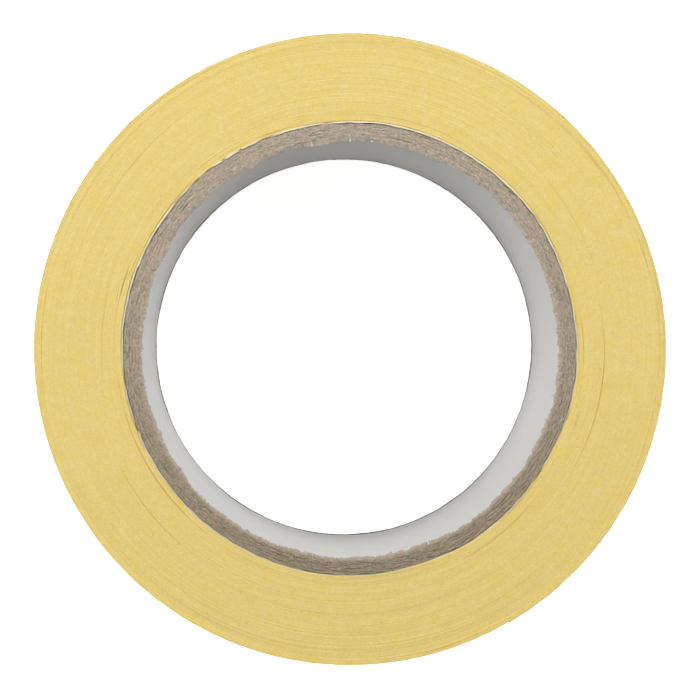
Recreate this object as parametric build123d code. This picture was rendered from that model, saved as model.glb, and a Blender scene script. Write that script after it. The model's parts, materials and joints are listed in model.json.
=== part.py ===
from build123d import *
from math import cos, degrees, radians, sin
import os

# A roll of masking tape lying on one side face. Millimetres, +Z up along the roll's axis,
# with the origin at the centre of the lower side face.

# The core is a spiral-wound paper tube, cut to the same width as the tape.
ROLL_WIDTH = 50.0
BORE_RADIUS = 38.1  # standard 3 inch core
LINER_THICKNESS = 0.40  # smooth white-faced paper, with a lap seam pressed flat and so no gap
BOARD_PLY_COUNT = 5
BOARD_PLY_THICKNESS = 0.53
OUTER_PLY_THICKNESS = 0.25

# Each ply over the liner is a strip wound in a helix, its edges meeting at a butt seam.
SEAM_LEAD = 109.0  # climb of the seam in one turn
SEAM_GAP = 0.4
FIRST_SEAM_ANGLE = -20.0
SEAM_STAGGER = 67.0  # degrees from one ply's seam to the next ply's
SLIT_OVERSHOOT = 4.0  # how far a seam's cutter runs past each side face
SLIT_MARGIN = 0.5  # how far it runs past the ply's two curved faces

# The tape is one strip. Each wrap adds its thickness, backing and adhesive together.
TAPE_THICKNESS = 0.125
WRAP_COUNT = 129
END_ANGLE = -60.0  # direction of the free end, seen from above
PEEL_LENGTH = 35.0  # stretch of the outermost wrap that lifts off, along the tape
PEEL_CLEARANCE = 0.03  # under that stretch, where the lifted tape's adhesive was

CORE_RADIUS = BORE_RADIUS + LINER_THICKNESS + BOARD_PLY_COUNT * BOARD_PLY_THICKNESS + OUTER_PLY_THICKNESS
ROLL_RADIUS = CORE_RADIUS + WRAP_COUNT * TAPE_THICKNESS  # at the tape's free end

# One turn of the tape is drawn as two half circles. Their centres lie this far to each side
# of the axis, on the line through the free end, so that the turn falls by one thickness.
CENTRE_SHIFT = TAPE_THICKNESS / 4
NEAR_CENTRE = (CENTRE_SHIFT, 0)
FAR_CENTRE = (-CENTRE_SHIFT, 0)


def ring(inner_radius, outer_radius):
    """A plain tube from the lower side face to the upper one."""
    return extrude(Circle(outer_radius) - Circle(inner_radius), amount=ROLL_WIDTH)


def seam_slit(inner_radius, outer_radius, seam_angle):
    """The gap between neighbouring edges of a ply's strip, as a cutter for its tube."""
    helix = Helix(
        pitch=SEAM_LEAD,
        height=ROLL_WIDTH + 2 * SLIT_OVERSHOOT,
        radius=(inner_radius + outer_radius) / 2,
        center=(0, 0, -SLIT_OVERSHOOT),
    )
    across = Plane(origin=helix @ 0, x_dir=(1, 0, 0), z_dir=helix % 0)
    depth = outer_radius - inner_radius + 2 * SLIT_MARGIN
    slit = sweep(across * Rectangle(depth, SEAM_GAP), path=helix, is_frenet=True)
    return Rot(0, 0, seam_angle) * slit


def seamed_ply(inner_radius, thickness, seam_angle):
    """One ply of the core: a tube of board or paper with an open butt seam."""
    outer_radius = inner_radius + thickness
    return ring(inner_radius, outer_radius) - seam_slit(inner_radius, outer_radius, seam_angle)


def core_plies():
    """The core's plies by node name, from the bore outwards."""
    plies = {"core_liner": ring(BORE_RADIUS, BORE_RADIUS + LINER_THICKNESS)}
    radius = BORE_RADIUS + LINER_THICKNESS
    seam_angle = FIRST_SEAM_ANGLE
    for number in range(1, BOARD_PLY_COUNT + 1):
        plies[f"core_board_ply_{number}"] = seamed_ply(radius, BOARD_PLY_THICKNESS, seam_angle)
        radius += BOARD_PLY_THICKNESS
        seam_angle += SEAM_STAGGER
    plies["core_outer_ply"] = seamed_ply(radius, OUTER_PLY_THICKNESS, seam_angle)
    return plies


def turn_arcs(end_radius, first_angle=0.0):
    """One falling turn, counterclockwise from first_angle, that passes end_radius at angle 0."""
    near_half = CenterArc(NEAR_CENTRE, end_radius - CENTRE_SHIFT, first_angle, 180 - first_angle)
    far_half = CenterArc(FAR_CENTRE, end_radius - 3 * CENTRE_SHIFT, 180, 180)
    return near_half, far_half


def placed(outline):
    """The tape's outline turned to where its free end lies, at the roll's full width."""
    return extrude(Rot(0, 0, END_ANGLE) * outline, amount=ROLL_WIDTH)


def tape_winding():
    """Every wrap but the outermost. The strip goes on from the step into the outermost wrap."""
    near_half, far_half = turn_arcs(ROLL_RADIUS - TAPE_THICKNESS)
    step = Line(far_half @ 1, near_half @ 0)
    return placed(make_face([near_half, far_half, step]) - Circle(CORE_RADIUS))


def peel_angle():
    """Angle from the tape's free end to the line where the outermost wrap starts to lift."""
    return degrees(PEEL_LENGTH / (ROLL_RADIUS - CENTRE_SHIFT))


def tape_outer_wrap():
    """The outermost wrap, from the step in the winding round to the peel line."""
    outer = turn_arcs(ROLL_RADIUS, peel_angle())
    inner = turn_arcs(ROLL_RADIUS - TAPE_THICKNESS, peel_angle())
    at_peel_line = Line(outer[0] @ 0, inner[0] @ 0)
    at_step = Line(outer[1] @ 1, inner[1] @ 1)
    return placed(make_face([*outer, *inner, at_peel_line, at_step]))


def tape_end():
    """The free end of the tape, from the peel line on."""
    outer_radius = ROLL_RADIUS - CENTRE_SHIFT
    inner_radius = outer_radius - TAPE_THICKNESS + PEEL_CLEARANCE
    outer = CenterArc(NEAR_CENTRE, outer_radius, 0, peel_angle())
    inner = CenterArc(NEAR_CENTRE, inner_radius, 0, peel_angle())
    free_edge = Line(outer @ 0, inner @ 0)
    at_peel_line = Line(outer @ 1, inner @ 1)
    return placed(make_face([outer, inner, free_edge, at_peel_line]))


def peel_axis():
    """Where the free end's hinge line stands: on the outer face, at the peel line."""
    reach = ROLL_RADIUS - CENTRE_SHIFT
    x = CENTRE_SHIFT + reach * cos(radians(peel_angle()))
    y = reach * sin(radians(peel_angle()))
    return Vector(x, y, 0).rotate(Axis.Z, END_ANGLE)


nodes = core_plies()
nodes["tape_winding"] = tape_winding()
nodes["tape_outer_wrap"] = tape_outer_wrap()
nodes["tape_end"] = tape_end()

os.makedirs("parts", exist_ok=True)
for name, shape in nodes.items():
    export_step(shape, f"parts/{name}.step")

axis = peel_axis()
print(f"roll {2 * ROLL_RADIUS:.2f} across, {ROLL_WIDTH:.2f} wide, core {2 * CORE_RADIUS:.2f} across")
print(f"peel axis at {axis.X:.4f}, {axis.Y:.4f}")
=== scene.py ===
# %% [markdown]
# # A roll of masking tape
# The roll lies on one side face. Its CAD model gives every size and place, and this lesson gives each
# piece the surface that the real one has: crepe paper, slit paper edges, cut chipboard, coated paper.
# Loading the model comes first, so that every later cell can ask it where things are.

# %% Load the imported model
import bmesh
import bpy
import json
import math
import numpy as np
from mathutils import Matrix, Vector


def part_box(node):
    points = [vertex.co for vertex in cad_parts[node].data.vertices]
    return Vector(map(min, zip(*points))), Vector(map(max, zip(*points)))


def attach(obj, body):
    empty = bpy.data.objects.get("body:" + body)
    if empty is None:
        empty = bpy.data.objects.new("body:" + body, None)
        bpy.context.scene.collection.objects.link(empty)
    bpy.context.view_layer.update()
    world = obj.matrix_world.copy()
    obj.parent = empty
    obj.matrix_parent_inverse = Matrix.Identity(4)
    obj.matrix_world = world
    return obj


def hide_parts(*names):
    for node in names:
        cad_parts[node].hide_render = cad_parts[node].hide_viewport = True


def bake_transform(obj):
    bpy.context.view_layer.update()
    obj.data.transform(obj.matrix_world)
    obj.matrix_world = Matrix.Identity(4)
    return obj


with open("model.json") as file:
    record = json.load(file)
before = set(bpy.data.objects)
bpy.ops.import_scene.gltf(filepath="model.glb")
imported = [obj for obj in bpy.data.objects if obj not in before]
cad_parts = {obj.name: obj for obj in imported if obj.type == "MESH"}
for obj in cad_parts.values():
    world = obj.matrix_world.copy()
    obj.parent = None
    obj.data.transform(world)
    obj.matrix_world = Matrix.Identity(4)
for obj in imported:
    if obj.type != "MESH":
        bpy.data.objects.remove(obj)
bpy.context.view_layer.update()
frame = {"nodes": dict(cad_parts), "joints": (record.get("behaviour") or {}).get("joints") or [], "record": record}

MM = 0.001

# %% [markdown]
# ## Sizes from the model
# A roll is round, so a piece's size is its radius. The widest reach of a node's box gives its outer
# radius, and the piece inside it gives its inner one. The record's bore mount gives the hole.

# %% Radii, height and the tape's own thickness
def outer_radius(node):
    """How far a node reaches from the roll's axis."""
    low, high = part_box(node)
    return max(high.x, high.y, -low.x, -low.y)


ROLL_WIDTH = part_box("core_liner")[1].z
BORE_RADIUS = next(m["dims"]["r_mm"] for m in frame["record"]["mounts"] if m["name"] == "core_bore") * MM
LINER_RADIUS = outer_radius("core_liner")
BOARD_NODES = sorted(name for name in frame["nodes"] if name.startswith("core_board_ply"))
BOARD_RADII = [outer_radius(name) for name in BOARD_NODES]
CORE_RADIUS = outer_radius("core_outer_ply")
WINDING_RADIUS = outer_radius("tape_winding")
TAPE_THICKNESS = outer_radius("tape_outer_wrap") - WINDING_RADIUS
WRAPS = round((WINDING_RADIUS - CORE_RADIUS) / TAPE_THICKNESS)
print("bore", round(BORE_RADIUS / MM, 2), "core", round(CORE_RADIUS / MM, 2), "mm in radius")
print(WRAPS, "wraps of", round(TAPE_THICKNESS / MM, 3), "mm")

# %% [markdown]
# The tape's free end and the line where it peels are the two ends of the node `tape_end`. The hinge
# stands on the peel line, so the corner of the node that is furthest from it lies on the free edge.

# %% Where the tape ends, and where it peels
hinge = Vector(frame["joints"][0]["pos_m"])
end_corners = [vertex.co for vertex in frame["nodes"]["tape_end"].data.vertices]
free_corner = max(end_corners, key=lambda co: (co.xy - hinge.xy).length)
END_ANGLE = math.atan2(free_corner.y, free_corner.x)
PEEL_TURN = math.atan2(hinge.y, hinge.x) - END_ANGLE
print("free end at", round(math.degrees(END_ANGLE), 1), "degrees")
print("peel line", round(math.degrees(PEEL_TURN), 1), "degrees further round")

# %% [markdown]
# ## Making rings
# Every piece of a roll is a section carried round the axis: a closed outline whose radius and height
# change a little from place to place. A modifier such as Screw makes a perfect ring, but paper is
# torn, crushed and wrinkled, so here each ring is built from arrays of radii and heights, one row for
# each point of the section and one column for each step round the roll.

# %% A ring or a strip from its section
SHARP_ANGLE = math.radians(50)  # a steeper fold than this is drawn as an edge


def make_piece(name, radii, heights, angles, closed=True):
    """Joins rows of points into one closed skin. An open strip gets a cap at each end."""
    rows, columns = np.broadcast_shapes(radii.shape, heights.shape, (1, len(angles)))
    corners = np.empty((rows, columns, 3))
    corners[..., 0] = radii * np.cos(angles)
    corners[..., 1] = radii * np.sin(angles)
    corners[..., 2] = heights
    row, column = np.meshgrid(np.arange(rows), np.arange(columns if closed else columns - 1), indexing="ij")
    next_row, next_column = (row + 1) % rows, (column + 1) % columns
    quads = np.stack(
        [row * columns + column, next_row * columns + column,
         next_row * columns + next_column, row * columns + next_column], axis=-1,
    ).reshape(-1, 4)
    faces = quads.tolist()
    if not closed:
        first = np.arange(rows) * columns
        faces += [first.tolist(), (first[::-1] + columns - 1).tolist()]
    mesh = bpy.data.meshes.new(name)
    mesh.from_pydata(corners.reshape(-1, 3).tolist(), [], faces)
    tidy = bmesh.new()
    tidy.from_mesh(mesh)
    bmesh.ops.recalc_face_normals(tidy, faces=tidy.faces)
    tidy.to_mesh(mesh)
    tidy.free()
    mesh.shade_smooth()
    mesh.set_sharp_from_angle(angle=SHARP_ANGLE)
    piece = bpy.data.objects.new(name, mesh)
    bpy.context.collection.objects.link(piece)
    print(name, len(mesh.polygons), "faces")
    return piece


def steps_round(radius, step):
    """Evenly spaced directions round the roll, about step apart at that radius."""
    return np.linspace(0, 2 * np.pi, round(2 * np.pi * radius / step), endpoint=False)


print("once round the core is", len(steps_round(CORE_RADIUS, 1 * MM)), "steps of a millimetre")

# %% [markdown]
# ## Random but repeatable
# Torn paper and crepe are random, with a typical size: a wrinkle is so wide and so long. White noise
# that is blurred by that much has it. The blur is done on the noise's frequencies, because then the
# pattern repeats, and it meets itself where a ring closes.

# %% Noise with a chosen grain
rng = np.random.default_rng(11)


def grain(rows, columns, row_span, column_span):
    """Noise of mean 0 and deviation 1, smooth over about that many rows and columns."""
    noise = rng.standard_normal((rows, columns))
    along = np.fft.fftfreq(rows)[:, None] * row_span
    across = np.fft.fftfreq(columns)[None, :] * column_span
    smooth = np.exp(-2 * (along**2 + across**2))
    noise = np.fft.ifft2(np.fft.fft2(noise) * smooth).real
    return (noise - noise.mean()) / noise.std()


def along_ring(values, angles):
    """Reads a function that is known at even steps round the roll at any other directions."""
    even = np.linspace(0, 2 * np.pi, len(values), endpoint=False)
    return np.interp(angles % (2 * np.pi), even, values, period=2 * np.pi)


def near(angles, direction, half_width):
    """1 at a direction and 0 further off than half_width, both in radians, with soft sides."""
    off = np.abs((angles - direction + np.pi) % (2 * np.pi) - np.pi)
    return np.clip(1.5 - off / half_width, 0, 1)


# %% [markdown]
# A paper core is never quite round: the tape was wound on under tension, and squeezed it into a faint
# polygon, and its wall is a little thicker on one side. The plies and the first wraps share that
# shape, so one function gives it to all of them. It fades towards the bore, which was wound on a steel
# mandrel, and towards the outside of the roll.

# %% The core's slight polygon
POLYGON_DEPTH = 0.08 * MM
POLYGON_STEPS = 720
SIDE_STEPS = 60  # the length of one side of the polygon
polygon = grain(1, POLYGON_STEPS, 1, SIDE_STEPS)[0]
THICK_SIDE = math.radians(135)
THICKER = 0.17 * MM


def core_wobble(angles):
    """How far the outside of the core stands out or in, in each direction."""
    return POLYGON_DEPTH * along_ring(polygon, angles) + THICKER * np.cos(angles - THICK_SIDE)


wobble_range = core_wobble(steps_round(CORE_RADIUS, 1 * MM)) / MM
print("core wobbles from", round(wobble_range.min(), 2), "to", round(wobble_range.max(), 2), "mm")

# %% [markdown]
# ## Materials
# Colours are written as a designer writes them, in sRGB hex, and turned to the linear values that
# the renderer works in. One function adds a node, with its settings and what feeds it.

# %% Colour and node helpers
def linear(hex_colour):
    """Linear RGBA from an sRGB colour such as "#E4CC84"."""
    channels = [int(hex_colour[i:i + 2], 16) / 255 for i in (1, 3, 5)]
    return [c / 12.92 if c <= 0.04045 else ((c + 0.055) / 1.055) ** 2.4 for c in channels] + [1.0]


def add(tree, kind, inputs=None, **settings):
    """Adds a node. inputs are values, or the sockets that feed it; settings are its own choices."""
    node = tree.nodes.new("ShaderNode" + kind)
    for setting, value in settings.items():
        setattr(node, setting, value)
    for name, value in (inputs or {}).items():
        if isinstance(value, bpy.types.NodeSocket):
            tree.links.new(value, node.inputs[name])
        else:
            node.inputs[name].default_value = value
    return node


def new_material(name, roughness, ior, specular=0.5):
    """A material with one Principled shader, and its node tree."""
    material = bpy.data.materials.new(name)
    material.use_nodes = True
    shader = material.node_tree.nodes["Principled BSDF"]
    shader.inputs["Roughness"].default_value = roughness
    shader.inputs["IOR"].default_value = ior
    shader.inputs["Specular IOR Level"].default_value = specular
    return material, material.node_tree, shader


PAPER_IOR = 1.47  # cellulose
ADHESIVE_IOR = 1.52  # natural rubber and resin
print("paper yellow in linear light:", [round(channel, 3) for channel in linear("#E4CC84")])

# %% [markdown]
# ### Round coordinates
# The wraps run round the roll, so their streaks have to as well. The nodes below turn a point into
# (cos, sin, radius), each times its own scale. Noise that is read there is stretched along the wraps
# and fine across them, and it has no seam, because a direction's cosine and sine have none.

# %% Coordinates that follow the wraps
SIDE_SHIFT = 9.0  # noise cells per metre of height, which gives the two side faces different streaks


def wrap_coordinates(tree, per_turn, per_metre):
    """A vector that changes slowly round the roll and quickly along its radius."""
    point = add(tree, "TexCoord").outputs["Object"]
    flat = add(tree, "VectorMath", {0: point, 1: (1, 1, 0)}, operation="MULTIPLY").outputs[0]
    radius = add(tree, "VectorMath", {0: flat}, operation="LENGTH").outputs["Value"]
    direction = add(tree, "VectorMath", {0: flat}, operation="NORMALIZE").outputs[0]
    around = add(tree, "VectorMath", {0: direction, "Scale": per_turn}, operation="SCALE").outputs[0]
    height = add(tree, "SeparateXYZ", {0: point}).outputs["Z"]
    side = add(tree, "Math", {0: height, 1: SIDE_SHIFT}, operation="MULTIPLY").outputs[0]
    outward = add(tree, "Math", {0: radius, 1: per_metre, 2: side}, operation="MULTIPLY_ADD").outputs[0]
    parts = add(tree, "SeparateXYZ", {0: around})
    joined = {"X": parts.outputs["X"], "Y": parts.outputs["Y"], "Z": outward}
    return add(tree, "CombineXYZ", joined).outputs[0]


print("streaks can now run round the roll")

# %% [markdown]
# ### Slit edge of crepe paper tape
# The side face of the roll is the cut edge of every wrap: yellow crepe paper and, between the wraps,
# a little rubber adhesive. It looks matt and slightly waxy, with fine streaks where some wraps stand
# out further, patches where the adhesive shows more, and dust that it has picked up.

# %% Material of the wound tape's side faces
STREAK_PITCH = 0.55 * MM  # a few wraps together; single wraps are finer than can be seen
GRIT_SIZE = 0.3 * MM  # cut fibres and beads of adhesive, drawn some three times too coarse, so they show
PATCH_SIZE = 2.5 * MM  # where more adhesive or more paper shows
SPECK_SIZE = 0.6 * MM  # dust

tape_edge, tree, shader = new_material("slit_crepe_tape_edge", roughness=0.62, ior=PAPER_IOR, specular=0.35)
point = add(tree, "TexCoord").outputs["Object"]
streaks = add(tree, "TexNoise", {"Vector": wrap_coordinates(tree, 3.0, 1 / STREAK_PITCH), "Scale": 1.0,
                                 "Detail": 2.0, "Roughness": 0.6}).outputs["Fac"]
patches = add(tree, "TexNoise", {"Vector": point, "Scale": 1 / PATCH_SIZE, "Detail": 4.0,
                                 "Roughness": 0.6}).outputs["Fac"]
grit = add(tree, "TexNoise", {"Vector": point, "Scale": 1 / GRIT_SIZE, "Detail": 1.0}).outputs["Fac"]
specks = add(tree, "TexNoise", {"Vector": point, "Scale": 1 / SPECK_SIZE, "Detail": 2.0,
                                "Roughness": 0.7}).outputs["Fac"]
patchy = add(tree, "MapRange", {"Value": patches, "From Min": 0.3, "From Max": 0.7}).outputs[0]
colour = add(tree, "Mix", {"Factor": patchy, 6: linear("#E1CA80"), 7: linear("#E0C565")},
             data_type="RGBA").outputs[2]
streaky = add(tree, "MapRange", {"Value": streaks, "From Min": 0.35, "From Max": 0.7,
                                 "To Min": 0.0, "To Max": 0.22}).outputs[0]
colour = add(tree, "Mix", {"Factor": streaky, 6: colour, 7: linear("#CFB05B")}, data_type="RGBA").outputs[2]
gritty = add(tree, "MapRange", {"Value": grit, "From Min": 0.3, "From Max": 0.7,
                                "To Min": 0.0, "To Max": 0.5}).outputs[0]
colour = add(tree, "Mix", {"Factor": gritty, 6: colour, 7: linear("#CEB368")}, data_type="RGBA").outputs[2]
dusty = add(tree, "MapRange", {"Value": specks, "From Min": 0.68, "From Max": 0.8,
                               "To Min": 0.0, "To Max": 0.6}).outputs[0]
colour = add(tree, "Mix", {"Factor": dusty, 6: colour, 7: linear("#A8965C")}, data_type="RGBA").outputs[2]
tree.links.new(colour, shader.inputs["Base Color"])
height = add(tree, "Math", {0: streaks, 1: grit}, operation="ADD").outputs[0]
bump = add(tree, "Bump", {"Height": height, "Strength": 0.4, "Distance": 0.04 * MM})
tree.links.new(bump.outputs[0], shader.inputs["Normal"])
print("made", tape_edge.name)

# %% [markdown]
# ### Back of crepe paper
# The outside of the tape is paper that was creped, pushed up into fine wrinkles across its width, and
# then soaked with latex so that it tears cleanly and lets go of the adhesive under it. The large
# wrinkles are in the mesh. The material adds the finer ones and the cloudy fibre of the sheet, and
# paints shade into the troughs of the finer ones.

# %% Material of the tape's outer face
WRINKLE_WIDTH = 0.35 * MM
WRINKLE_LENGTH = 3.0 * MM
CLOUD_SIZE = 5 * MM  # where the sheet's fibres lie thicker

tape_back, tree, shader = new_material("crepe_paper_back", roughness=0.58, ior=PAPER_IOR, specular=0.4)
point = add(tree, "TexCoord").outputs["Object"]
squeezed = (1 / WRINKLE_WIDTH, 1 / WRINKLE_WIDTH, 1 / WRINKLE_LENGTH)
across = add(tree, "VectorMath", {0: point, 1: squeezed}, operation="MULTIPLY").outputs[0]
wrinkles = add(tree, "TexNoise", {"Vector": across, "Scale": 1.0, "Detail": 3.0,
                                  "Roughness": 0.55}).outputs["Fac"]
clouds = add(tree, "TexNoise", {"Vector": point, "Scale": 1 / CLOUD_SIZE, "Detail": 6.0,
                                "Roughness": 0.7}).outputs["Fac"]
cloudy = add(tree, "MapRange", {"Value": clouds, "From Min": 0.35, "From Max": 0.65}).outputs[0]
colour = add(tree, "Mix", {"Factor": cloudy, 6: linear("#EBD798"), 7: linear("#E7CE82")},
             data_type="RGBA").outputs[2]
# Painted shade: the troughs of the fine wrinkles are painted darker.
crease_shade = add(tree, "MapRange", {"Value": wrinkles, "From Min": 0.3, "From Max": 0.55,
                                 "To Min": 0.45, "To Max": 0.0}).outputs[0]
colour = add(tree, "Mix", {"Factor": crease_shade, 6: colour, 7: linear("#CDB06A")}, data_type="RGBA").outputs[2]
tree.links.new(colour, shader.inputs["Base Color"])
bump = add(tree, "Bump", {"Height": wrinkles, "Strength": 0.6, "Distance": 0.06 * MM})
tree.links.new(bump.outputs[0], shader.inputs["Normal"])
print("made", tape_back.name)

# %% [markdown]
# ### Rubber adhesive
# The inner side of the tape carries a thin coat of rubber and resin. It is smoother and shinier than
# the paper, and the paper's wrinkles show through it.

# %% Material of the tape's inner face
adhesive, tree, shader = new_material("rubber_resin_adhesive", roughness=0.32, ior=ADHESIVE_IOR)
point = add(tree, "TexCoord").outputs["Object"]
across = add(tree, "VectorMath", {0: point, 1: squeezed}, operation="MULTIPLY").outputs[0]
ripples = add(tree, "TexNoise", {"Vector": across, "Scale": 0.8, "Detail": 2.0}).outputs["Fac"]
colour = add(tree, "Mix", {"Factor": ripples, 6: linear("#DCC27C"), 7: linear("#E6D196")},
             data_type="RGBA").outputs[2]
tree.links.new(colour, shader.inputs["Base Color"])
bump = add(tree, "Bump", {"Height": ripples, "Strength": 0.35, "Distance": 0.05 * MM})
tree.links.new(bump.outputs[0], shader.inputs["Normal"])
print("made", adhesive.name)

# %% [markdown]
# ### Cut chipboard
# The plies of the core are chipboard, made from mixed waste paper. A cut edge is matt and woolly,
# grey-brown, with paler and darker fibres pressed into thin layers that run round the core. Where the
# slitting knife dragged the inner edge out, the torn fibres are paler and a little pink. The mesh
# marks them with an attribute called torn. The cut face is painted darker towards one side of the
# core, a painted shade.

# %% Material of the board plies
LAYER_PITCH = 0.25 * MM
FLOCK_SIZE = 0.33 * MM  # tufts of fibre; a fibre itself is a tenth as wide, too fine to show
STOCK_SIZE = 1.0 * MM  # shreds of one kind of waste paper

board, tree, shader = new_material("cut_grey_chipboard", roughness=0.95, ior=PAPER_IOR, specular=0.15)
point = add(tree, "TexCoord").outputs["Object"]
layers = add(tree, "TexNoise", {"Vector": wrap_coordinates(tree, 40.0, 1 / LAYER_PITCH), "Scale": 1.0,
                                "Detail": 3.0, "Roughness": 0.6}).outputs["Fac"]
flocks = add(tree, "TexNoise", {"Vector": point, "Scale": 1 / FLOCK_SIZE, "Detail": 3.0,
                                "Roughness": 0.7}).outputs["Fac"]
stock = add(tree, "TexNoise", {"Vector": point, "Scale": 1 / STOCK_SIZE, "Detail": 4.0,
                               "Roughness": 0.7}).outputs["Fac"]
mixed = add(tree, "Mix", {"Factor": 0.65, 2: layers, 3: flocks}).outputs[0]
fibrous = add(tree, "MapRange", {"Value": mixed, "From Min": 0.37, "From Max": 0.63}).outputs[0]
warm = add(tree, "MapRange", {"Value": stock, "From Min": 0.42, "From Max": 0.58}).outputs[0]
dark = add(tree, "Mix", {"Factor": warm, 6: linear("#86806D"), 7: linear("#998474")},
           data_type="RGBA").outputs[2]
pale = add(tree, "Mix", {"Factor": warm, 6: linear("#B4AC92"), 7: linear("#C4AF9E")},
           data_type="RGBA").outputs[2]
colour = add(tree, "Mix", {"Factor": fibrous, 6: dark, 7: pale}, data_type="RGBA").outputs[2]
# Painted shade: the cut face is multiplied darker from a little past the axis to the bore's edge on the -Y side.
across_core = add(tree, "SeparateXYZ", {0: point}).outputs["Y"]
painted_side_shade = add(tree, "MapRange", {"Value": across_core, "From Min": BORE_RADIUS / 2, "From Max": -BORE_RADIUS,
                                "To Max": 1.0}).outputs[0]
colour = add(tree, "Mix", {"Factor": painted_side_shade, 6: colour, 7: linear("#E2E0D6")}, data_type="RGBA",
             blend_type="MULTIPLY").outputs[2]
torn = add(tree, "Attribute", attribute_name="torn").outputs["Fac"]
torn_share = add(tree, "Math", {0: torn, 1: 0.5}, operation="MULTIPLY").outputs[0]
colour = add(tree, "Mix", {"Factor": torn_share, 6: colour, 7: linear("#C4B3A3")},
             data_type="RGBA").outputs[2]
tree.links.new(colour, shader.inputs["Base Color"])
bump = add(tree, "Bump", {"Height": mixed, "Strength": 0.8, "Distance": 0.1 * MM})
tree.links.new(bump.outputs[0], shader.inputs["Normal"])
print("made", board.name)

# %% [markdown]
# ### White papers
# The ply under the tape is plain white paper, matt and creamy, with board dust on its cut edge. On the
# side where the edge lies deeper it is also painted darker, a painted shade; an attribute of the mesh
# says where.

# %% Material of the outer ply
DUST_SIZE = 1.5 * MM

ply_paper, tree, shader = new_material("white_ply_paper", roughness=0.8, ior=PAPER_IOR, specular=0.3)
point = add(tree, "TexCoord").outputs["Object"]
dust = add(tree, "TexNoise", {"Vector": point, "Scale": 1 / DUST_SIZE, "Detail": 4.0}).outputs["Fac"]
# Painted shade: the attribute darkens the side where the edge lies deeper; the noise adds real board dust.
painted_side_shade = add(tree, "Attribute", attribute_name="painted_side_shade").outputs["Fac"]
dust_and_side_shade = add(tree, "Math", {0: dust, 1: painted_side_shade}, operation="ADD").outputs[0]
dust_and_shade_share = add(tree, "MapRange", {"Value": dust_and_side_shade, "From Min": 0.5, "From Max": 1.5, "To Max": 0.6}).outputs[0]
colour = add(tree, "Mix", {"Factor": dust_and_shade_share, 6: linear("#E2DABC"), 7: linear("#B3A477")},
             data_type="RGBA").outputs[2]
tree.links.new(colour, shader.inputs["Base Color"])
print("made", ply_paper.name)

# %% [markdown]
# The liner in the bore is white too, with a smooth coated face, so it has a faint sheen. Paper is
# never quite even: held to the light it looks cloudy, and the same clouds make it faintly uneven.

# %% Material of the liner
FORMATION_SIZE = 2.5 * MM  # the clouds of fibre in the sheet

liner_paper, tree, shader = new_material("white_coated_liner_paper", roughness=0.5, ior=PAPER_IOR,
                                         specular=0.16)
point = add(tree, "TexCoord").outputs["Object"]
formation = add(tree, "TexNoise", {"Vector": point, "Scale": 1 / FORMATION_SIZE,
                                   "Detail": 4.0}).outputs["Fac"]
colour = add(tree, "Mix", {"Factor": formation, 6: linear("#D5D3CD"), 7: linear("#DCDAD4")},
             data_type="RGBA").outputs[2]
tree.links.new(colour, shader.inputs["Base Color"])
bump = add(tree, "Bump", {"Height": formation, "Strength": 0.15, "Distance": 0.05 * MM})
tree.links.new(bump.outputs[0], shader.inputs["Normal"])
print("made", liner_paper.name)

# %% [markdown]
# ## The wound tape
# On the real roll this is one strip, some 40 metres long, in wraps an eighth of a millimetre thick.
# It could be one strip with a solidify modifier, but then it would have millions of faces. Only its
# two side faces show, so each wrap is a ridge there: its middle stands at its own height, and a
# groove parts it from the next. Each wrap moves a little from its neighbours, and some grooves are
# deeper, which is what draws the fine lines.

# %% Heights of the wraps' edges
WINDING_STEPS = 180
STEP_SLOPE = 0.001  # radians that the step in the winding takes, where the outermost wrap goes on from it
winding_turn = np.linspace(0, 2 * np.pi - STEP_SLOPE, WINDING_STEPS)
winding_angles = END_ANGLE + winding_turn
DRIFT = 0.018 * MM  # how far bands of wraps wander along the axis
GROOVE = 0.010 * MM
FIRST_WRAP_SINK = 0.22 * MM  # the first wrap was pulled down as it was started, which leaves a shadow


def side_profile():
    """Depth of the side face under the roll's full width: a ridge and a groove for each wrap."""
    share = np.linspace(0, 1, WRAPS)[:, None]
    unevenness = 0.65 + 1.1 * np.abs(2 * share - 1) ** 3  # the first and the last wraps are the least even
    wander = grain(WRAPS, WINDING_STEPS, 9, 40) + 0.5 * grain(WRAPS, WINDING_STEPS, 1.5, 30)
    ridges = DRIFT * (np.clip(unevenness * wander, -4, 4) - 4)
    grooves = ridges - GROOVE * unevenness * np.exp(0.8 * grain(WRAPS, WINDING_STEPS, 1, 20))
    profile = np.empty((2 * WRAPS, WINDING_STEPS))
    profile[0::2], profile[1::2] = ridges, grooves
    profile[:2] -= FIRST_WRAP_SINK * np.clip(0.5 + 0.5 * grain(1, WINDING_STEPS, 1, 8), 0, 1)
    return profile


print("a side face has", 2 * WRAPS, "rows of", WINDING_STEPS, "points")

# %% [markdown]
# Where the roll was knocked or the tension was low, two wraps have come apart, and a short dark gap
# shows. The first wraps gape most, where the core has flat sides, and the last ones a little.

# %% Gaps between wraps
# direction in degrees, wraps from the core, length and depth in mm
PARTINGS = [
    (72, 0, 10, 0.28), (58, 0, 6, 0.24), (27, 0, 3, 0.24), (40, 0, 5, 0.16), (87, 0, 3, 0.16),
    (-17, 1, 3, 0.16), (-37, 0, 3, 0.16), (-85, 0, 3, 0.16), (-104, 0, 3, 0.16), (144, 2, 12, 0.2),
    (166, 1, 7, 0.16), (178, 1, 4, 0.16), (109, 3, 3, 0.24), (159, 5, 3, 0.16), (3, 8, 5, 0.12),
    (164, 10, 4, 0.24), (167, 14, 3, 0.12), (-18, 14, 3, 0.12), (48, 25, 3, 0.1), (-102, 30, 5, 0.1),
    (-14, 39, 2, 0.08), (97, 104, 3, 0.08), (37, 111, 3, 0.08), (77, 112, 5, 0.08), (18, 113, 3, 0.1),
    (88, 114, 3, 0.08), (-123, 116, 4, 0.1), (-73, 119, 6, 0.1),
]


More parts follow.
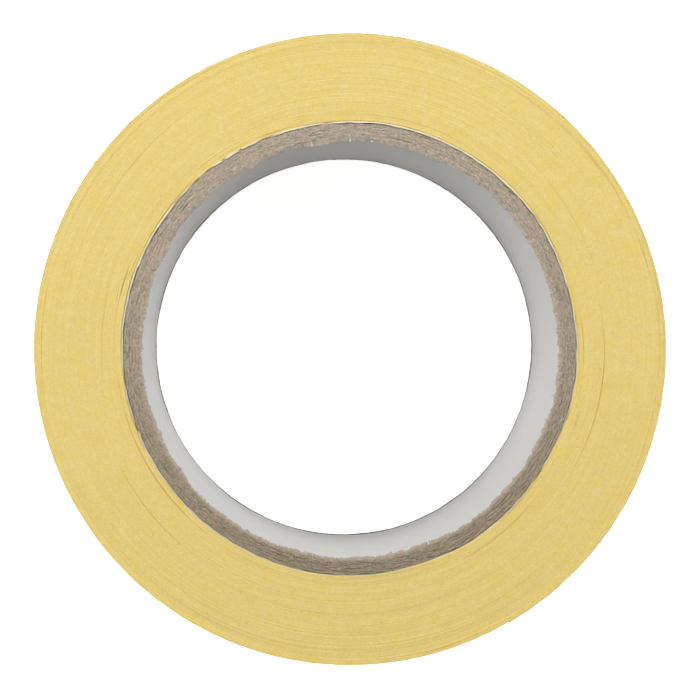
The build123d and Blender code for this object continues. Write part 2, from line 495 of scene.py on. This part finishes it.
def open_partings(profile):
    """Deepens a groove at each place where two wraps have come apart."""
    for degrees, wrap, length, depth in PARTINGS:
        radius = CORE_RADIUS + wrap * TAPE_THICKNESS
        row = max(2 * wrap - 1, 0)
        profile[row] -= depth * MM * near(winding_angles, math.radians(degrees), length / 2 * MM / radius)
    return profile


print(len(PARTINGS), "places where wraps have come apart")


# %% [markdown]
# The tape has three different faces, so a face's direction says which material it gets. The slit
# edges lie within half a millimetre of the side faces of the roll. The winding is painted too: its
# outside is bare where the free end is peeled off it.

# %% Paint for the tape's three kinds of face
SLIT_DEPTH = 0.5 * MM


def paint_tape(piece):
    """Crepe outside, slit edge above and below, adhesive inside."""
    for material in (tape_back, tape_edge, adhesive):
        piece.data.materials.append(material)
    for face in piece.data.polygons:
        outward = Vector((face.center.x, face.center.y, 0)).normalized().dot(face.normal)
        from_side = min(face.center.z, ROLL_WIDTH - face.center.z)
        if from_side < SLIT_DEPTH:
            face.material_index = 1
        else:
            face.material_index = 0 if outward > 0 else 2
    print(piece.name, "painted")


# %% Build the winding
inner = CORE_RADIUS + core_wobble(winding_angles)
outer = WINDING_RADIUS - TAPE_THICKNESS * winding_turn / (2 * np.pi)
share = (np.arange(2 * WRAPS) + 0.5)[:, None] / (2 * WRAPS)
spread = inner + (outer - inner) * share
spread[0], spread[-1] = inner, outer
radii = np.vstack([spread, spread[::-1]])
heights = np.vstack([ROLL_WIDTH + open_partings(side_profile()), -side_profile()[::-1]])
winding = make_piece("wound_tape", radii, heights, winding_angles)
paint_tape(winding)
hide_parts("tape_winding")
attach(winding, "roll")

# %% [markdown]
# ## The outermost wrap and the free end
# These two are the tape as one sees it from the side, so the crepe is modelled: wrinkles a millimetre
# or so apart that run across the tape, each a few millimetres long. One field of wrinkles covers the
# whole turn, and the wrap and the free end each take their part of it, so they match at the peel line.

# %% Wrinkles over one whole turn
CREPE_STEP = 0.3 * MM
CREPE_ROWS = 41
CREPE_DEPTH = 0.022 * MM
EDGE_RIPPLE = 0.03 * MM
turn_steps = round(2 * np.pi * outer_radius("tape_outer_wrap") / CREPE_STEP)
row_step = ROLL_WIDTH / (CREPE_ROWS - 1)
narrow = grain(CREPE_ROWS, turn_steps, 5 * MM / row_step, 1.0 * MM / CREPE_STEP)
wide = grain(CREPE_ROWS, turn_steps, 2 * MM / row_step, 2.2 * MM / CREPE_STEP)
wrinkle_field = CREPE_DEPTH * np.clip(0.75 * narrow + 0.5 * wide, -2.5, 2.5)
turns = np.linspace(0, 2 * np.pi, turn_steps, endpoint=False)
edge_ripple = EDGE_RIPPLE * grain(1, turn_steps, 1, 4)[0]
print("wrinkles up to", round(wrinkle_field.max() / MM, 3), "mm high, in", turn_steps, "steps round the roll")

# %% A stretch of the outermost wrap
EDGE_INSET = 2 * EDGE_RIPPLE  # so that no ripple reaches past the side face


def tape_strip(name, chosen, gap):
    """A stretch of the outermost wrap: wrinkled outside, smooth inside, gap above the wrap under it."""
    outside = outer_radius("tape_outer_wrap") - TAPE_THICKNESS * turns[chosen] / (2 * np.pi)
    inside = outside - TAPE_THICKNESS + gap
    levels = np.linspace(0, 1, CREPE_ROWS)[:, None]
    low = EDGE_INSET + edge_ripple[chosen]
    high = ROLL_WIDTH - EDGE_INSET + edge_ripple[::-1][chosen]
    rows = low + (high - low) * levels
    radii = np.vstack([outside + wrinkle_field[:, chosen], np.broadcast_to(inside, rows.shape)])
    return make_piece(name, radii, np.vstack([rows, rows[::-1]]), END_ANGLE + turns[chosen], closed=False)


# %% Build the outermost wrap and the free end
PEEL_CLEARANCE = 0.03 * MM
peel_step = round(PEEL_TURN / (2 * np.pi) * turn_steps)
outer_wrap = tape_strip("outer_wrap", np.arange(peel_step, turn_steps), gap=0)
free_end = tape_strip("free_end", np.arange(0, peel_step + 1), gap=PEEL_CLEARANCE)
for piece, node in ((outer_wrap, "tape_outer_wrap"), (free_end, "tape_end")):
    paint_tape(piece)
    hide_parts(node)
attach(outer_wrap, "roll")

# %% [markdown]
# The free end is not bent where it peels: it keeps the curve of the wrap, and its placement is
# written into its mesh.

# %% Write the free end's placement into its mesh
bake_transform(free_end)

# %% [markdown]
# ## The core's plies
# Each ply is a strip of board, wound in a helix with its edges butted together. Only its two cut
# edges show, one at each side face of the roll. They are woolly and uneven, and the line between
# two plies opens in some places and is closed in others. Where the strip's edges meet there is a
# notch; the model's own node says in which direction.

# %% Where a ply's butt seam reaches a side face
SEAM_WALL = 0.25  # a seam's wall faces along the ring by more than this, and no other wall does
LEVEL_SLACK = 0.01 * MM


def seam_direction(node, level):
    """Direction of a ply's butt seam at that height, from the walls of the seam in the CAD node."""
    mesh = frame["nodes"][node].data
    total = Vector((0, 0))
    for face in mesh.polygons:
        flat = Vector((face.center.x, face.center.y)).normalized()
        tangent = Vector((-flat.y, flat.x))
        if abs(tangent.dot(face.normal.xy)) > SEAM_WALL:
            for index in face.vertices:
                corner = mesh.vertices[index].co
                if abs(corner.z - level) < LEVEL_SLACK:
                    total += corner.xy.normalized()
    return math.atan2(total.y, total.x)


for node in BOARD_NODES:
    print(node, "seam at", round(math.degrees(seam_direction(node, ROLL_WIDTH))), "degrees on the upper face")

# %% The lines between plies
BOARD_STEP = 0.17 * MM
PLY_WANDER = 0.03 * MM
board_angles = steps_round(CORE_RADIUS, BOARD_STEP)
column_count = len(board_angles)
wobble = core_wobble(board_angles)
core_wall = CORE_RADIUS - BORE_RADIUS


def round_core(steps):
    """Noise round the core, smooth over about that many steps."""
    return grain(1, column_count, 1, steps)[0]


def ply_boundary(radius):
    """The line between two plies, which takes more of the core's polygon the further out it lies."""
    part = (radius - BORE_RADIUS) / core_wall
    between_boards = 0.2 < part < 0.97
    return radius + part * wobble + PLY_WANDER * round_core(12) * between_boards


boundaries = [ply_boundary(radius) for radius in [LINER_RADIUS, *BOARD_RADII]]
print(len(boundaries), "lines between plies, each of", column_count, "steps")

# %% [markdown]
# Glue holds the plies together, but not everywhere: a line between two plies is closed in most places
# and gapes in some. The white ply parts from the board all round, and has come right off in places.

# %% How deep the lines gape
GAPE = 0.15 * MM
LEAST_GAPE = 0.01 * MM
WHITE_PLY_GAPE = 0.02 * MM
# where the white ply has come off the board: direction in degrees, length and depth in mm
SPLITS = [(87, 3, 0.5), (71, 2, 0.2), (-52, 4, 0.3), (-64, 3, 0.3)]


def open_line():
    """How deep a line gapes in each direction: mostly closed, here and there open."""
    return GAPE * np.clip(round_core(40) - 1.0, 0, 1.2) + LEAST_GAPE


gaping = {side: [open_line() for boundary in boundaries] for side in ("lower", "upper")}
for side in gaping:
    gaping[side][-1] += WHITE_PLY_GAPE
for degrees, length, depth in SPLITS:
    place = near(board_angles, math.radians(degrees), length / 2 * MM / CORE_RADIUS)
    gaping["upper"][-1] += depth * MM * place
print("deepest gape", round(max(line.max() for line in gaping["upper"]) / MM, 2), "mm")

# %% Cut edge of a ply
BOARD_ROWS = 7
WOOL = 0.045 * MM
BOARD_RISE = 0.34 * MM  # the cut face stands higher at the bore than at the tape
NOTCH_DEPTH = 0.15 * MM
NOTCH_WIDTH = 0.3 * MM
LEAST_DEPTH = 0.02 * MM


def cut_edge(radii, inner_open, outer_open, seam):
    """Depth of a ply's woolly cut edge under the side face."""
    rows = len(radii)
    depth = BOARD_RISE * (radii - BORE_RADIUS) / core_wall
    depth = depth + WOOL * (grain(rows, column_count, 1.2, 3) + 0.8 * grain(rows, column_count, 4, 9))
    across = np.linspace(0, 1, rows)[:, None]
    inner_quarter = np.clip(1 - across * 4, 0, 1)
    outer_quarter = np.clip(across * 4 - 3, 0, 1)
    depth = depth + inner_open * inner_quarter + outer_open * outer_quarter
    depth = depth + NOTCH_DEPTH * near(board_angles, seam, NOTCH_WIDTH / 2 / CORE_RADIUS)
    return np.clip(depth, LEAST_DEPTH, None)


print("the cut face slopes by", round(BOARD_RISE / MM, 2), "mm")

# %% [markdown]
# The slitting knife dragged board fibres over the liner's edge, into the bore. On the upper face they
# hang as a torn fringe, long in some places and short in others. It could be hair or cards, but at
# this size it reads as a ragged lip, so the innermost ply gets three more rows that hang inwards.

# %% The torn fringe
FRINGE_REACH = {"lower": 0.14 * MM, "upper": 0.22 * MM}
FRINGE_SPREAD = {"lower": 0.03 * MM, "upper": 0.19 * MM}  # how much the reach varies
SHORTEST, LONGEST = -0.1 * MM, 0.8 * MM
FRINGE_DROOP = 0.20 * MM  # how much deeper its tip lies than its root
FRINGE_SINK = 0.02 * MM
TIP_THICKNESS = 0.14 * MM
ROOT_THICKNESS = 0.3 * MM
UNDERCUT = 0.06 * MM


def fringe_tip(side):
    """Radius of the fringe's tip in each direction: long waves, tufts, and fibres that stick out."""
    tufts = 0.6 * round_core(40) + 0.5 * round_core(9) + 0.65 * np.abs(round_core(2.2)) - 0.4
    reach = FRINGE_REACH[side] + FRINGE_SPREAD[side] * tufts
    return BORE_RADIUS - np.clip(reach, SHORTEST, LONGEST)


def with_fringe(side, rows, depth):
    """A side face with the fringe before it: its underside from root to tip, then its top."""
    reach = np.array([1.0, 0.5, 0.0])[:, None]
    lip = rows[0] + (fringe_tip(side) - rows[0]) * reach
    lip_depth = depth[0] + FRINGE_SINK + FRINGE_DROOP * reach**2 + WOOL * grain(3, column_count, 1, 2)
    radii = np.vstack([rows[0], lip[0] + UNDERCUT, lip[:2], rows])
    depths = np.vstack([lip_depth[2] + ROOT_THICKNESS, lip_depth[0] + TIP_THICKNESS, lip_depth[:2], depth])
    torn = np.zeros(radii.shape)
    if side == "upper":
        torn[:3] = 1.0
        torn[3] = 0.5
    return radii, depths, torn


print("the fringe reaches", FRINGE_REACH["upper"] / MM, "mm into the bore on average")

# %% Build the board plies
def mark(piece, name, values):
    """Stores a number at each point of a piece, for its material to read."""
    layer = piece.data.attributes.new(name, "FLOAT", "POINT")
    layer.data.foreach_set("value", values.ravel().astype(np.float32))


def ply_face(number, side, level):
    """Radii, depths and torn marks of one ply's cut edge at one side face of the roll."""
    inside, outside = boundaries[number], boundaries[number + 1]
    rows = inside + (outside - inside) * np.linspace(0, 1, BOARD_ROWS)[:, None]
    seam = seam_direction(BOARD_NODES[number], level)
    depth = cut_edge(rows, gaping[side][number], gaping[side][number + 1], seam)
    if number == 0:
        return with_fringe(side, rows, depth)
    return rows, depth, np.zeros(rows.shape)


for number, node in enumerate(BOARD_NODES):
    low_radii, low_depth, low_torn = ply_face(number, "lower", 0.0)
    high_radii, high_depth, high_torn = ply_face(number, "upper", ROLL_WIDTH)
    radii = np.vstack([high_radii, low_radii[::-1]])
    heights = np.vstack([ROLL_WIDTH - high_depth, low_depth[::-1]])
    ply = make_piece(f"board_ply_{number + 1}", radii, heights, board_angles)
    mark(ply, "torn", np.vstack([high_torn, low_torn[::-1]]))
    ply.data.materials.append(board)
    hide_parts(node)
    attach(ply, "roll")

# %% [markdown]
# ## The white outer ply
# A thin strip of white paper lies over the board, and the first wrap of tape is stuck to it. Edge on
# it is a white line between brown and yellow, with a hair of shadow on each side. It stands level
# with the tape on one side of the core. On the other it lies deeper, and there its colour is painted
# darker, a painted shade. It wavers, breaks off in places, and has a notch at its butt seam.

# %% Height of the white edge
PLY_SINK = 0.18 * MM  # how far it lies under the side face where it lies deepest
PLY_LOWEST, PLY_HIGHEST = -0.4 * MM, 0.1 * MM
SEAM_NOTCH = 0.3 * MM
SEAM_NOTCH_WIDTH = 1.6 * MM
BREAK_DEPTH = 0.5 * MM
# where the edge is broken off: direction in degrees, length in mm
PLY_BREAKS = [(96, 1.5), (119, 0.6), (124, 0.7), (131, 5), (188, 3), (200, 2), (326, 3)]
# The white edge stands highest towards this direction; on the opposite side it lies deeper and gets painted shade.
PROUD_SIDE = math.radians(85)
exposed = (0.5 + 0.5 * np.cos(board_angles - PROUD_SIDE)) ** 2  # 1 where the white edge shows best
exposed = np.clip(exposed + 0.15 * round_core(30), 0, 1)
waver = 0.03 * MM * round_core(14)


def ply_edge(level):
    """How far the white edge stands out of the side face (plus) or lies under it (minus)."""
    rise = PLY_SINK * (exposed - 1) + 0.04 * MM * round_core(18)
    missing = 0.6 * MM * np.clip(round_core(25) - 1.3, 0, 1)
    seam = seam_direction("core_outer_ply", level)
    notch = SEAM_NOTCH * near(board_angles, seam, SEAM_NOTCH_WIDTH / 2 / CORE_RADIUS)
    return np.clip(rise, PLY_LOWEST, PLY_HIGHEST) - missing - notch


low_edge = np.minimum(ply_edge(0.0), 0)
high_edge = ply_edge(ROLL_WIDTH)
for degrees, length in PLY_BREAKS:
    high_edge -= BREAK_DEPTH * near(board_angles, math.radians(degrees), length / 2 * MM / CORE_RADIUS)
print("the white edge lies from", round(high_edge.min() / MM, 2), "to", round(high_edge.max() / MM, 2), "mm")

# %% Build the outer ply
PLY_OVERLAP = 0.03 * MM  # its edge is pressed over the first wrap
# The ply is narrower on the side where it lies deeper.
SUNK_SIDE_GAP = 0.05 * MM
EDGE_SLOPE = 0.02 * MM
ply_in = boundaries[-1] + SUNK_SIDE_GAP * (1 - exposed) + waver
ply_out = CORE_RADIUS + wobble + PLY_OVERLAP + waver * 0.5
radii = np.vstack([ply_in, ply_out, ply_out, ply_in])
heights = np.vstack([ROLL_WIDTH + high_edge, ROLL_WIDTH + high_edge - EDGE_SLOPE,
                     EDGE_SLOPE - low_edge, -low_edge])
outer_ply = make_piece("outer_ply", radii, heights, board_angles)
outer_ply.data.materials.append(ply_paper)
# Painted shade for the material, strongest where the edge lies deepest.
mark(outer_ply, "painted_side_shade", np.tile(1 - exposed, 4))
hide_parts("core_outer_ply")
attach(outer_ply, "roll")

# %% [markdown]
# ## The liner
# The liner is the smooth white wall of the bore. Its two edges are cut with the board, under the torn
# fringe, and here and there a small tongue of it was torn up through the fringe. The wall needs rows
# enough for its edges to curl, and is plain in between.

# %% Build the liner
LINER_LEVELS = np.array([0.0, 0.15, 0.4, 0.9, 2.0, 6.0, 14.0, 25.0]) * MM
EDGE_DROP = 0.35 * MM  # how far the cut edge lies under the side face
TONGUE_RISE = 0.4 * MM
TONGUE_CURL = 0.9 * MM
CURL_LENGTH = 1.0 * MM
DROP_LENGTH = 2.0 * MM
LINER_SWELL = 0.04 * MM
HEM = 0.05 * MM
tongues = {"lower": np.zeros(column_count), "upper": np.clip(round_core(3) - 2.2, 0, 1)}
swell = LINER_SWELL * round_core(70)


def liner_rows(side):
    """The wall's radii and its distances from one side face, from the cut edge to mid height."""
    curl = TONGUE_CURL * tongues[side]
    drop = EDGE_DROP - TONGUE_RISE * tongues[side]
    curled = np.clip(1 - LINER_LEVELS / CURL_LENGTH, 0, 1)[:, None] ** 2
    dropped = np.clip(1 - LINER_LEVELS / DROP_LENGTH, 0, 1)[:, None]
    return BORE_RADIUS + swell - curl * curled, LINER_LEVELS[:, None] + drop * dropped


upper_radii, upper_depth = liner_rows("upper")
lower_radii, lower_depth = liner_rows("lower")
back = LINER_RADIUS - 0.01 * MM
radii = np.vstack([upper_radii, lower_radii[-2::-1], np.broadcast_to(back, (2, column_count))])
heights = np.vstack([ROLL_WIDTH - upper_depth, lower_depth[-2::-1], lower_depth[:1] + HEM,
                     ROLL_WIDTH - upper_depth[:1] - HEM])
liner = make_piece("liner_paper", radii, heights, board_angles)
liner.data.materials.append(liner_paper)
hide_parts("core_liner")
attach(liner, "roll")

# %% [markdown]
# ## Studio
# A pale sweep of paper surrounds the roll, lit so brightly that it reads as white, and it doesn't
# throw light back, so the roll is lit by the lamps alone. Soft lamps stand in an arc from the right
# round the back to the left, high enough to shine down the whole bore. The wall of the bore that
# faces away from them stays in shade. A low reflector in front lights the outside of the roll there,
# but is too low to shine into the bore.

# %% Floor
SWEEP_RADIUS = 1.6
SWEEP_GAP = 0.2 * MM  # the floor lies this far under the roll, so the two don't share a face
sweep_rows = [(0.02, 0.0), (0.6, 0.0), (1.2, 0.0), (1.45, 0.08), (SWEEP_RADIUS, 0.35), (SWEEP_RADIUS, 3.0)]
sweep_angles = np.linspace(0, 2 * np.pi, 96, endpoint=False)
sweep_points = [(r * math.cos(a), r * math.sin(a), z - SWEEP_GAP)
                for r, z in sweep_rows for a in sweep_angles]
count = len(sweep_angles)
sweep_faces = []
for row in range(len(sweep_rows) - 1):
    for step in range(count):
        start, after = row * count, (step + 1) % count
        sweep_faces.append((start + step, start + after, start + count + after, start + count + step))
sweep_faces.append(tuple(reversed(range(count))))
mesh = bpy.data.meshes.new("studio_sweep")
mesh.from_pydata(sweep_points, [], sweep_faces)
mesh.shade_smooth()
sweep = bpy.data.objects.new("studio_sweep", mesh)
bpy.context.collection.objects.link(sweep)
backdrop, tree, shader = new_material("pale_backdrop_paper", roughness=0.9, ior=PAPER_IOR, specular=0.1)
shader.inputs["Base Color"].default_value = linear("#F0F0EE")
shader.inputs["Emission Color"].default_value = linear("#FFFFFF")
shader.inputs["Emission Strength"].default_value = 0.85
mesh.materials.append(backdrop)
sweep.visible_diffuse = False
print("sweep of", 2 * SWEEP_RADIUS, "m across")

# %% Lights
world = bpy.data.worlds.new("sky")
bpy.context.scene.world = world
world.use_nodes = True
world.node_tree.nodes["Background"].inputs["Color"].default_value = linear("#F2F5F8")
world.node_tree.nodes["Background"].inputs["Strength"].default_value = 0.03

LAMP_DISTANCE = 0.85
LAMP_TILT = math.radians(42)  # how high a lamp stands over the horizon
LAMP_SIZE = (0.4, 0.4)
LAMP_POWERS = {20: 3.2, 55: 2.6, 125: 2.2, 160: 3.3, 200: 1.2}  # direction in degrees: watts


def soft_lamp(name, place, size, power):
    """A rectangular lamp that faces the roll."""
    data = bpy.data.lights.new(name, "AREA")
    data.shape = "RECTANGLE"
    data.energy, data.size, data.size_y = power, *size
    data.color = linear("#F8FAFF")[:3]  # daylight
    lamp = bpy.data.objects.new(name, data)
    lamp.location = place
    lamp.rotation_euler = (Vector((0, 0, ROLL_WIDTH / 2)) - Vector(place)).to_track_quat("-Z", "Y").to_euler()
    lamp.visible_camera = False
    bpy.context.collection.objects.link(lamp)


for degrees, power in LAMP_POWERS.items():
    across, up = LAMP_DISTANCE * math.cos(LAMP_TILT), LAMP_DISTANCE * math.sin(LAMP_TILT)
    direction = math.radians(degrees)
    place = (across * math.cos(direction), across * math.sin(direction), up + ROLL_WIDTH / 2)
    soft_lamp(f"lamp_{degrees}", place, LAMP_SIZE, power)
soft_lamp("front_reflector", place=(0.0, -0.8, 0.022), size=(1.2, 0.04), power=5.0)
print(len(LAMP_POWERS), "lamps and a reflector")

# %% [markdown]
# The camera looks down on the upper side face from a little to the left of the axis, and so sees more
# of the bore's wall on the right. Its height sets how small the far rim of the bore looks.

# %% Camera
CAMERA_HEIGHT = 0.427  # above the upper side face
CAMERA_SIDE = (-0.0118, 0.0048)
AIM = (-0.00018, -0.00005)
FIELD = 0.12707  # what the picture's width covers there
camera_data = bpy.data.cameras.new("camera")
camera_data.lens = camera_data.sensor_width * CAMERA_HEIGHT / FIELD
camera = bpy.data.objects.new("camera", camera_data)
camera.location = (*CAMERA_SIDE, ROLL_WIDTH + CAMERA_HEIGHT)
backward = (camera.location - Vector((*AIM, ROLL_WIDTH))).normalized()
rightward = Vector((0, 1, 0)).cross(backward).normalized()
camera.rotation_euler = Matrix((rightward, backward.cross(rightward), backward)).transposed().to_euler()
bpy.context.collection.objects.link(camera)
bpy.context.scene.camera = camera
bpy.context.scene.view_settings.view_transform = "Standard"
print("lens", round(camera_data.lens, 1), "mm")
